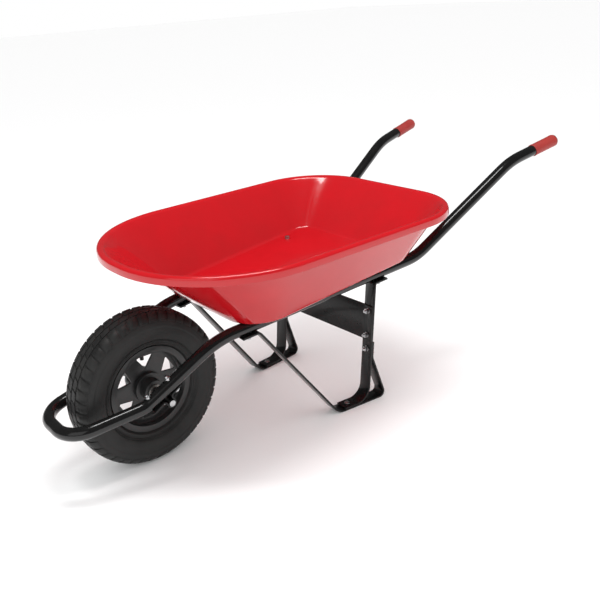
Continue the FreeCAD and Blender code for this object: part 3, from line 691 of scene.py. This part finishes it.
@dataclass
class Tray:
    """Pressed steel tray with a turned-down lip.

    Attributes:
        lip_half: half width over the lip.
        lip_front_z: height of the lip at the front.
        lip_rear_z: height of the lip at the rear.
        lip_width: width of the lip's flat top.
        lip_drop: depth of the turned-down skirt.
        lip_front_corner: radius of the lip's front corners.
        lip_rear_corner: radius of the lip's rear corners.
        floor_half_front: half width of the floor at its front.
        floor_half_rear: half width of the floor at its rear.
        floor_front: floor's front edge, from the tray's front end.
        floor_rear: floor's rear edge, from the tray's front end.
        floor_front_corner: radius of the floor's front corners.
        floor_rear_corner: radius of the floor's rear corners.
        floor_slope: slope of the floor.
        floor_margin: how far in the floor's flat middle starts.
        floor_rings: sizes of the face rings in the flat middle, as shares of it.
        sheet: sheet thickness.
        floor_bend: radius of the bend from floor to wall.
        lip_bend: radius of the bend from wall to lip.
        skirt_bend: radius of the bend from lip to skirt.
        hem: width of the skirt's turned-in hem.
        crease: height of the crease pressed down each corner.
        crease_spread: width of the crease, in stations.
        corner_steps: stations in each corner.
        side_steps: stations in each side.
        bend_steps: steps in each bend.
        wall_steps: steps down the wall.
        crisp_angle: edges sharper than this stay crisp, in degrees.
    """

    workshop: Workshop
    lip_half: float = 0.330
    lip_front_z: float = 0.533
    lip_rear_z: float = 0.541
    lip_front_corner: float = 0.316
    lip_rear_corner: float = 0.200
    lip_width: float = 0.016
    lip_drop: float = 0.023
    floor_half_front: float = 0.212
    floor_half_rear: float = 0.226
    floor_front: float = 0.244
    floor_rear: float = 0.794
    floor_front_corner: float = 0.100
    floor_rear_corner: float = 0.060
    floor_slope: float = math.atan2(0.061, 0.648)
    floor_margin: float = 0.035
    floor_rings: tuple[float, ...] = (0.75, 0.5, 0.25)
    sheet: float = 0.0016
    floor_bend: float = 0.016
    lip_bend: float = 0.018
    skirt_bend: float = 0.0085
    hem: float = 0.003
    crease: float = 0.0028
    crease_spread: float = 0.9
    corner_steps: int = 26
    side_steps: int = 14
    bend_steps: int = 6
    wall_steps: int = 8
    crisp_angle: float = 60.0

    def outlines(self) -> tuple[RoundedOutline, RoundedOutline]:
        """Places the outlines from the CAD tray's box.

        Returns:
            The outlines of the floor and of the lip's outer edge.
        """
        low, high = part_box("tray")
        length = high.y - low.y
        slope = math.atan2(self.lip_rear_z - self.lip_front_z, length)
        lip = RoundedOutline(
            origin=np.array([0.0, low.y, self.lip_front_z]), slope=slope,
            front=0.0, rear=length / math.cos(slope),
            front_half=self.lip_half, rear_half=self.lip_half,
            front_corner=self.lip_front_corner, rear_corner=self.lip_rear_corner)
        floor_length = (self.floor_rear - self.floor_front) / math.cos(self.floor_slope)
        floor = RoundedOutline(
            origin=np.array([0.0, low.y + self.floor_front, low.z]), slope=self.floor_slope,
            front=0.0, rear=floor_length,
            front_half=self.floor_half_front, rear_half=self.floor_half_rear,
            front_corner=self.floor_front_corner, rear_corner=self.floor_rear_corner)
        return floor, lip

    def corner_lines(self) -> list[list[np.ndarray]]:
        """Lays out the lines that the sheet bends along.

        Returns:
            The lines from the floor out over the lip to the hem, all with as many points.
        """
        floor, lip = self.outlines()
        steps = (self.corner_steps, self.side_steps)
        half_sheet = self.sheet / 2
        return [
            floor.stations(half_sheet + self.floor_margin, self.sheet, *steps),
            floor.stations(half_sheet, self.sheet, *steps),
            lip.stations(self.lip_width + self.sheet, 0.0, *steps),
            lip.stations(0.0, 0.0, *steps),
            lip.stations(0.0, -self.lip_drop, *steps),
            lip.stations(self.hem, -self.lip_drop, *steps),
        ]

    def sections(self) -> list[list[np.ndarray]]:
        """Works out the sheet's bends and creases at every station round it.

        Returns:
            The sections from the floor to the hem, all with as many points.
        """
        radii = [0, self.floor_bend, self.lip_bend, self.skirt_bend, self.hem / 2, 0]
        sections = []
        for station, corners in enumerate(zip(*self.corner_lines())):
            line = rounded(corners, radii, self.bend_steps)
            wall_top, lip_edge = corners[2], corners[3]
            outward = (lip_edge - wall_top) / np.linalg.norm(lip_edge - wall_top)
            sections.append(self.with_crease(line, outward * self.crease_height(station)))
        return sections

    def mesh(self) -> bpy.types.Mesh:
        """Skins the sections and closes the floor.

        Returns:
            The sheet's upper side, without thickness.
        """
        sections = self.sections()
        count, depth = len(sections), len(sections[0])
        points = [point for section in sections for point in section]
        faces = []
        for i in range(count):
            here, ahead = i * depth, (i + 1) % count * depth
            for k in range(depth - 1):
                faces.append((here + k, ahead + k, ahead + k + 1, here + k + 1))
        centre = sum(section[0] for section in sections) / count
        ring = [i * depth for i in range(count)]
        for share in self.floor_rings:
            fresh = list(range(len(points), len(points) + count))
            points.extend(centre + (section[0] - centre) * share for section in sections)
            for i in range(count):
                j = (i + 1) % count
                faces.append((ring[i], fresh[i], fresh[j], ring[j]))
            ring = fresh
        hub = len(points)
        points.append(centre)
        faces.extend((ring[i], hub, ring[(i + 1) % count]) for i in range(count))
        return mesh_from("tray_sheet", np.array(points), faces, self.crisp_angle)

    def crease_height(self, station: int) -> float:
        """Height of the pressed crease, which runs down the middle of each corner.

        Args:
            station: number of the station round the tray.

        Returns:
            The crease's height there.
        """
        step = station % (self.corner_steps + self.side_steps)
        away = (step - self.corner_steps / 2) / self.crease_spread
        return self.crease * math.exp(-away * away) if step <= self.corner_steps else 0.0

    def with_crease(self, line: list[np.ndarray], outward: np.ndarray) -> list[np.ndarray]:
        """Adds points down the wall and pushes them out along the crease.

        Args:
            line: one section of the sheet, from the floor to the hem.
            outward: direction and height of the crease there.

        Returns:
            The section with the wall's points added.
        """
        foot = self.bend_steps + 1
        low, high = line[foot], line[foot + 1]
        shares = [step / self.wall_steps for step in range(1, self.wall_steps)]
        wall = [low + (high - low) * t + outward * math.sqrt(math.sin(math.pi * t))
                for t in shares]
        return line[:foot + 1] + wall + line[foot + 1:]

    def build(self) -> None:
        """Makes the tray and seats it on the frame."""
        mesh = self.mesh()
        middle = min(mesh.polygons, key=lambda face: face.center.z)
        if middle.normal.z < 0:
            mesh.flip_normals()
        piece = self.workshop.new_piece("tray_sheet", mesh, Slot.TRAY)
        wall = piece.modifiers.new("sheet thickness", "SOLIDIFY")
        wall.thickness = self.sheet
        wall.offset = -1.0
        self.workshop.baked(piece)
        self.workshop.seat(piece, "frame", Slot.TRAY, "tray")


# ---- wheel ----
@dataclass(frozen=True)
class Lug:
    """One kind of tread lug.

    Attributes:
        name: the lug's name.
        section: (along, radius) corners of its section.
        half_length: half its length round the tyre.
        skew: how far it slants round the tyre per metre along the axle.
        edge: width of its bevelled edges.
    """

    name: str
    section: Sequence[Pair]
    half_length: float
    skew: float
    edge: float = 0.0009

    def helper(self, tyre_radius: float) -> bpy.types.Object:
        """Makes the lug at the top of the tyre, with the axle as its origin.

        Args:
            tyre_radius: outer radius of the tyre.

        Returns:
            A helper object that holds the lug.
        """
        count = len(self.section)
        points, faces = [], []
        for sign in (-1, 1):
            for x, r in self.section:
                slant = self.skew * (x - self.section[0][0])
                turn = (sign * self.half_length + slant) / tyre_radius
                points.append((x, -r * math.sin(turn), r * math.cos(turn)))
        for i in range(count):
            j = (i + 1) % count
            faces.append((i, j, count + j, count + i))
        faces.append(tuple(range(count)))
        faces.append(tuple(range(count, 2 * count))[::-1])
        mesh = mesh_from(self.name, np.array(points), faces, smooth_angle=30.0)
        with edited(mesh, mesh) as solid:
            bmesh.ops.bevel(solid, geom=solid.edges[:], offset=self.edge, segments=1,
                            affect="EDGES", clamp_overlap=True)
        return in_scene(self.name, mesh)


@dataclass(frozen=True)
class LugRow:
    """One row of lugs round the tyre.

    Attributes:
        lug: input of the geometry tree that holds its lug.
        phase: where the row starts, in shares of the space from lug to lug.
        turn: turn of each lug about the vertical, half a turn for the tyre's other side.
    """

    lug: str
    phase: float
    turn: float


@dataclass
class Wheel:
    """Tyre with its tread, and the rim, hub and valve inside it.

    Attributes:
        tread_base: radius of the tyre between its lugs.
        lug_count: lugs in each row.
        steps: steps round the tyre.
        crisp_angle: edges of the tyre sharper than this stay crisp, in degrees.
        rim_edge: rounding of the rim's edges.
        small_edge: rounding of the bushes' and the valve's edges.
    """

    workshop: Workshop
    tread_base: float = 0.1976
    lug_count: int = 44
    steps: int = 176
    crisp_angle: float = 50.0
    rim_edge: float = 0.0012
    small_edge: float = 0.0004

    def __post_init__(self) -> None:
        """Reads the wheel's centre and size from the CAD tyre."""
        low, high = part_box("tyre")
        self.centre = (low + high) / 2
        self.radius = (high.z - low.z) / 2
        self.half_width = (high.x - low.x) / 2

    def place(self, along: float, radius: float, angle: float) -> Vector:
        """The point at a distance along the axle, a radius and an angle."""
        return self.centre + Vector((along, radius * math.cos(angle), radius * math.sin(angle)))

    def tyre_profile(self) -> list[Pair]:
        """Draws the tyre's section from bead to bead.

        Returns:
            (along, radius) pairs of the closed section.
        """
        wide = self.half_width
        bead = [(0.0325, 0.1020), (0.0325, 0.1120), (0.0360, 0.1150), (0.0385, 0.1160)]
        cushion = [(0.0402, 0.1175), (0.0408, 0.1195), (0.0396, 0.1215), (0.0392, 0.1240)]
        lower_rib = [(0.0404, 0.1262), (0.0440, 0.1285), (0.0446, 0.1296), (0.0438, 0.1304)]
        side_wall = [(0.0454, 0.1318), (0.0472, 0.1350), (0.0484, 0.1400),
                     (wide - 0.0003, 0.1470), (wide, 0.1540), (wide - 0.0004, 0.1610)]
        upper_line = [(wide - 0.0010, 0.1640), (wide - 0.0004, 0.1655), (wide - 0.0011, 0.1685)]
        shoulder = [(wide - 0.0023, 0.1750), (wide - 0.0047, 0.1815), (wide - 0.0086, 0.1872),
                    (wide - 0.0134, 0.1913), (wide - 0.0215, 0.1948)]
        crown = [(0.0180, 0.1966), (0.0080, 0.1974)]
        side = bead + cushion + lower_rib + side_wall + upper_line + shoulder + crown
        return side + [(0.0, self.tread_base)] + [(-x, r) for x, r in reversed(side)]

    def lug_tree(self) -> bpy.types.NodeTree:
        """Builds the geometry tree that sets four rows of lugs round the tyre.

        Returns:
            The tree, with the lugs, their number and the rubber as inputs.
        """
        tree = bpy.data.node_groups.new("tread_rows", "GeometryNodeTree")
        panel = tree.interface
        panel.new_socket("Geometry", in_out="OUTPUT", socket_type="NodeSocketGeometry")
        panel.new_socket("Shoulder Lug", in_out="INPUT", socket_type="NodeSocketObject")
        panel.new_socket("Middle Lug", in_out="INPUT", socket_type="NodeSocketObject")
        count = panel.new_socket("Lugs per Row", in_out="INPUT", socket_type="NodeSocketInt")
        count.default_value = self.lug_count
        panel.new_socket("Rubber", in_out="INPUT", socket_type="NodeSocketMaterial")
        canvas = Canvas(tree)
        source, sink = canvas.add("NodeGroupInput"), canvas.add("NodeGroupOutput")
        per_row = source.outputs["Lugs per Row"]
        line = canvas.add("GeometryNodeMeshLine", Count=per_row, Offset=(0.0, 0.0, 0.0))
        index = canvas.add("GeometryNodeInputIndex").outputs[0]
        pitch = canvas.math("DIVIDE", 2 * math.pi, per_row)
        join = canvas.add("GeometryNodeJoinGeometry")
        rows = (LugRow("Shoulder Lug", 0.0, 0.0), LugRow("Shoulder Lug", 0.5, math.pi),
                LugRow("Middle Lug", 0.25, 0.0), LugRow("Middle Lug", 0.75, math.pi))
        for row in rows:
            lug = canvas.add("GeometryNodeObjectInfo", {"transform_space": "ORIGINAL"},
                             Object=source.outputs[row.lug])
            turned = canvas.add("GeometryNodeTransform", Geometry=lug.outputs["Geometry"],
                                Rotation=(0.0, 0.0, row.turn))
            angle = canvas.math("MULTIPLY", canvas.math("ADD", index, row.phase), pitch)
            spin = canvas.add("ShaderNodeCombineXYZ", X=angle)
            copies = canvas.add("GeometryNodeInstanceOnPoints", Points=line.outputs[0],
                                Instance=turned.outputs[0], Rotation=spin.outputs[0])
            canvas.feed(join.inputs[0], copies.outputs[0])
        real = canvas.add("GeometryNodeRealizeInstances", Geometry=join.outputs[0])
        placed = canvas.add("GeometryNodeTransform", Geometry=real.outputs[0],
                            Translation=tuple(self.centre))
        dressed = canvas.add("GeometryNodeSetMaterial", Geometry=placed.outputs[0],
                             Material=source.outputs["Rubber"])
        canvas.feed(sink.inputs[0], dressed.outputs[0])
        return tree

    def build_tread(self) -> None:
        """Makes the lugs with the geometry tree and seats them on the wheel."""
        wide = self.half_width
        shoulder = [(0.0215, 0.1935), (0.0215, 0.1990), (wide - 0.0165, 0.1962),
                    (wide - 0.0095, 0.1912), (wide - 0.0046, 0.1845), (wide - 0.0030, 0.1795),
                    (wide - 0.0055, 0.1790), (wide - 0.0110, 0.1835), (wide - 0.0200, 0.1910)]
        middle = [(0.0022, 0.1945), (0.0022, self.radius), (0.0185, 0.1993), (0.0185, 0.1940)]
        lugs = (Lug("shoulder_lug", shoulder, half_length=0.0118, skew=0.30),
                Lug("middle_lug", middle, half_length=0.0130, skew=0.55))
        helpers = [lug.helper(self.radius) for lug in lugs]
        tree = self.lug_tree()
        piece = self.workshop.new_piece("tyre_tread", bpy.data.meshes.new("tyre_tread"), Slot.TYRE)
        modifier = piece.modifiers.new("tread rows", "NODES")
        modifier.node_group = tree
        values = {"Shoulder Lug": helpers[0], "Middle Lug": helpers[1],
                  "Lugs per Row": self.lug_count, "Rubber": self.workshop.materials[Slot.TYRE]}
        for item in tree.interface.items_tree:
            if item.in_out == "INPUT":
                modifier[item.identifier] = values[item.name]
        self.workshop.baked(piece)
        for helper in helpers:
            bpy.data.objects.remove(helper)
        self.workshop.seat(piece, "wheel", Slot.TYRE)

    def build(self) -> None:
        """Makes the tyre, its tread, the rim and the small parts."""
        mesh = lathe("tyre_body", self.tyre_profile(), self.steps, self.place, closed=True,
                     smooth_angle=self.crisp_angle)
        tyre = self.workshop.new_piece("tyre_body", mesh, Slot.TYRE)
        self.workshop.seat(tyre, "wheel", Slot.TYRE, "tyre")
        self.build_tread()
        self.workshop.soften("wheel_rim", self.rim_edge, segments=3)
        for node in ("wheel_bush_left", "wheel_bush_right", "valve_stem", "valve_cap"):
            self.workshop.soften(node, self.small_edge)
        self.workshop.dress("inner_tube")


# ---- frame ----
@dataclass
class Grips:
    """Soft grips on the tube's ends.

    Attributes:
        radius: radius of the grip at its collar and its end.
        bore: radius of the bore that the tube fills.
        bore_shown: how far in the bore is modelled.
        length: length of the grip.
        collar_length: length of the collar at its mouth.
        collar_height: how far the collar stands out from the handle.
        collar_foot: length of the step from the collar to the handle.
        mouth_edge: rounding of the collar's edges.
        belly_back: how far before the end's rounding the handle's thickest place lies.
        belly_drop: how far that place lies below the end's radius.
        end_rounding: radius of the end's edge.
        end_steps: steps in that edge.
        direction: outward direction of the left grip.
        steps: steps round the grip.
        crisp_angle: edges sharper than this stay crisp, in degrees.
    """

    workshop: Workshop
    radius: float = 0.0180
    bore: float = 0.0160
    bore_shown: float = 0.055
    length: float = 0.0970
    collar_length: float = 0.0050
    collar_height: float = 0.0005
    collar_foot: float = 0.0014
    mouth_edge: float = 0.0006
    belly_back: float = 0.012
    belly_drop: float = 0.0003
    end_rounding: float = 0.0100
    end_steps: int = 10
    direction: Point = (0.024, 0.187, 0.038)
    steps: int = 72
    crisp_angle: float = 50.0

    def profile(self) -> list[Pair]:
        """Draws a grip's section from its bore over the mouth to its closed end.

        Returns:
            (along, radius) pairs of the section.
        """
        edge, handle = self.mouth_edge, self.radius - self.collar_height
        end = self.length - self.end_rounding
        line = [(self.bore_shown, self.bore), (0.0, self.bore), (0.0, self.radius - edge),
                (edge, self.radius), (self.collar_length, self.radius),
                (self.collar_length + edge, handle),
                (self.collar_length + self.collar_foot, handle),
                (end - self.belly_back, self.radius - self.belly_drop)]
        for step in range(self.end_steps + 1):
            angle = math.pi / 2 * step / self.end_steps
            line.append((end + self.end_rounding * math.sin(angle),
                         self.radius - self.end_rounding * (1 - math.cos(angle))))
        return line + [(self.length, 0.0)]

    def placer(self, node: str, sign: float) -> Callable[[float, float, float], Vector]:
        """Finds where one grip goes.

        Args:
            node: the CAD grip.
            sign: 1 for the left grip and -1 for the right one.

        Returns:
            A function that maps (along, radius, angle) to a point of the grip.
        """
        axis = Vector((sign * self.direction[0], *self.direction[1:])).normalized()
        across = Vector((0.0, 0.0, 1.0)).cross(axis).normalized()
        upward = axis.cross(across)
        low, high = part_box(node)
        start = (low + high) / 2 - axis * self.length / 2

        def place(along: float, radius: float, angle: float) -> Vector:
            """The point at a distance from the mouth, a radius and an angle."""
            ring = across * math.cos(angle) + upward * math.sin(angle)
            return start + axis * along + ring * radius

        return place

    def build(self) -> None:
        """Makes both grips and seats them on the frame."""
        for node, sign in (("grip_left", 1.0), ("grip_right", -1.0)):
            mesh = lathe(node + "_sleeve", self.profile(), self.steps, self.placer(node, sign),
                         closed=False, smooth_angle=self.crisp_angle)
            piece = self.workshop.new_piece(node + "_sleeve", mesh, Slot.GRIP)
            self.workshop.seat(piece, "frame", Slot.GRIP, node)


@dataclass
class Undercarriage:
    """Frame tube, brackets, legs and everything that is bolted to them.

    Attributes:
        strap_edge: rounding of the flat strips' edges.
        fastener_edge: rounding of bolts and nuts.
    """

    workshop: Workshop
    strap_edge: float = 0.0009
    fastener_edge: float = 0.0005

    def build(self) -> None:
        """Dresses the tube and rounds the edges of the rest."""
        self.workshop.dress("frame_tube")
        for node in ("leg_post_left", "leg_post_right", "foot_brace_left", "foot_brace_right",
                     "leg_cross_plate", "axle_bracket_left", "axle_bracket_right"):
            self.workshop.soften(node, self.strap_edge)
        for node in ("axle", "axle_nuts", "axle_washers", "axle_spacer_left",
                     "axle_spacer_right", "axle_bracket_bolts", "axle_bracket_nuts", "leg_bolts",
                     "leg_nuts", "foot_rivets", "tray_bolts", "tray_nuts", "tray_washers"):
            self.workshop.soften(node, self.fastener_edge)


# ---- studio ----
@dataclass(frozen=True)
class SoftLight:
    """One area light.

    Attributes:
        name: the light's name.
        place: where it hangs.
        aim: the point it looks at.
        size: its width and height.
        watts: its power.
    """

    name: str
    place: Point
    aim: Point
    size: Pair
    watts: float

    def build(self) -> None:
        """Hangs the light and turns it to its aim."""
        lamp = bpy.data.lights.new(self.name, "AREA")
        lamp.shape = "RECTANGLE"
        lamp.size, lamp.size_y = self.size
        lamp.energy = self.watts
        thing = in_scene(self.name, lamp)
        thing.location = self.place
        gaze = Vector(self.aim) - Vector(self.place)
        thing.rotation_euler = gaze.to_track_quat("-Z", "Y").to_euler()


@dataclass
class Studio:
    """Pale floor, soft lights and the camera.

    Attributes:
        camera_place: the camera's place.
        azimuth: direction of view, degrees; 0 looks along +Y and 90 along -X.
        pitch: angle of the view below the horizon, degrees.
        roll: turn of the picture, degrees.
        focal: focal length over picture width.
        shift: picture shift, in picture widths.
        sensor: width of the camera's sensor in millimetres.
        view_distance: how far the camera sees.
        floor_size: length of the floor's sides.
        floor_tone: how pale the floor is.
        floor_roughness: roughness of the floor.
        floor_gloss: strength of the floor's reflection.
        ambient: brightness of the surround on dull surfaces.
        gloss_sky: brightness of the surround in reflections.
        lights: the soft lights.
    """

    camera_place: Point = (1.57546, -1.33819, 1.12021)
    azimuth: float = 53.531
    pitch: float = 17.604
    roll: float = -3.821
    focal: float = 1.2883
    shift: Pair = (0.0838, -0.1035)
    sensor: float = 36.0
    view_distance: float = 200.0
    floor_size: float = 60.0
    floor_tone: float = 0.94
    floor_roughness: float = 0.85
    floor_gloss: float = 0.1
    ambient: float = 1.08
    gloss_sky: float = 0.09
    lights: tuple[SoftLight, ...] = (
        SoftLight("overhead", (0.3, -0.2, 2.6), (0.0, 0.0, 0.4), (1.6, 0.35), 30.0),
        SoftLight("front", (1.2, -3.0, 1.8), (0.0, -0.2, 0.3), (2.4, 2.4), 14.0),
    )

    def camera(self) -> None:
        """Places the camera, turns it and makes it the scene's own."""
        azimuth, pitch, roll = map(math.radians, (self.azimuth, self.pitch, self.roll))
        ahead = Vector((-math.sin(azimuth) * math.cos(pitch),
                        math.cos(azimuth) * math.cos(pitch), -math.sin(pitch)))
        level = Vector((math.cos(azimuth), math.sin(azimuth), 0.0))
        upright = level.cross(ahead)
        right = level * math.cos(roll) + upright * math.sin(roll)
        up = upright * math.cos(roll) - level * math.sin(roll)
        lens = bpy.data.cameras.new("camera")
        lens.sensor_width = self.sensor
        lens.lens = self.focal * self.sensor
        lens.shift_x, lens.shift_y = self.shift
        lens.clip_end = self.view_distance
        thing = in_scene("camera", lens)
        turn = Matrix((right, up, -ahead)).transposed()
        thing.matrix_world = Matrix.Translation(self.camera_place) @ turn.to_4x4()
        bpy.context.scene.camera = thing

    def floor(self) -> None:
        """Lays a plain pale floor under the barrow."""
        mesh = bpy.data.meshes.new("floor")
        half = self.floor_size / 2
        mesh.from_pydata([(-half, -half, 0), (half, -half, 0), (half, half, 0), (-half, half, 0)],
                         [], [(0, 1, 2, 3)])
        material = bpy.data.materials.new("pale_floor")
        material.use_nodes = True
        shader = material.node_tree.nodes["Principled BSDF"]
        tone = self.floor_tone
        shader.inputs["Base Color"].default_value = (tone, tone, tone, 1.0)
        shader.inputs["Roughness"].default_value = self.floor_roughness
        shader.inputs["Specular IOR Level"].default_value = self.floor_gloss
        mesh.materials.append(material)
        in_scene("floor", mesh)

    def sky(self) -> None:
        """Sets a white surround that gloss sees only dimly, as black studio cloths do."""
        world = bpy.data.worlds.new("surround")
        bpy.context.scene.world = world
        world.use_nodes = True
        canvas = Canvas(world.node_tree)
        rays = canvas.add("ShaderNodeLightPath")
        lit = canvas.remap(rays.outputs["Is Camera Ray"], 0.0, 1.0, self.ambient, 1.0)
        dim = canvas.math("MULTIPLY", rays.outputs["Is Glossy Ray"], self.ambient - self.gloss_sky)
        back = canvas.add("ShaderNodeBackground", Color=(1.0, 1.0, 1.0, 1.0),
                          Strength=canvas.math("SUBTRACT", lit, dim))
        canvas.feed(canvas.add("ShaderNodeOutputWorld").inputs["Surface"], back.outputs[0])
        bpy.context.scene.view_settings.view_transform = "Standard"

    def build(self) -> None:
        """Sets up floor, lights, surround and camera."""
        self.floor()
        self.sky()
        for light in self.lights:
            light.build()
        self.camera()


def main() -> None:
    """Builds the barrow's looks and the studio round it."""
    logging.basicConfig(level=logging.INFO, format="%(name)s: %(message)s")
    workshop = Workshop()
    for part in (Tray(workshop), Wheel(workshop), Grips(workshop), Undercarriage(workshop)):
        part.build()
    Studio().build()


if __name__ == "__main__":
    main()
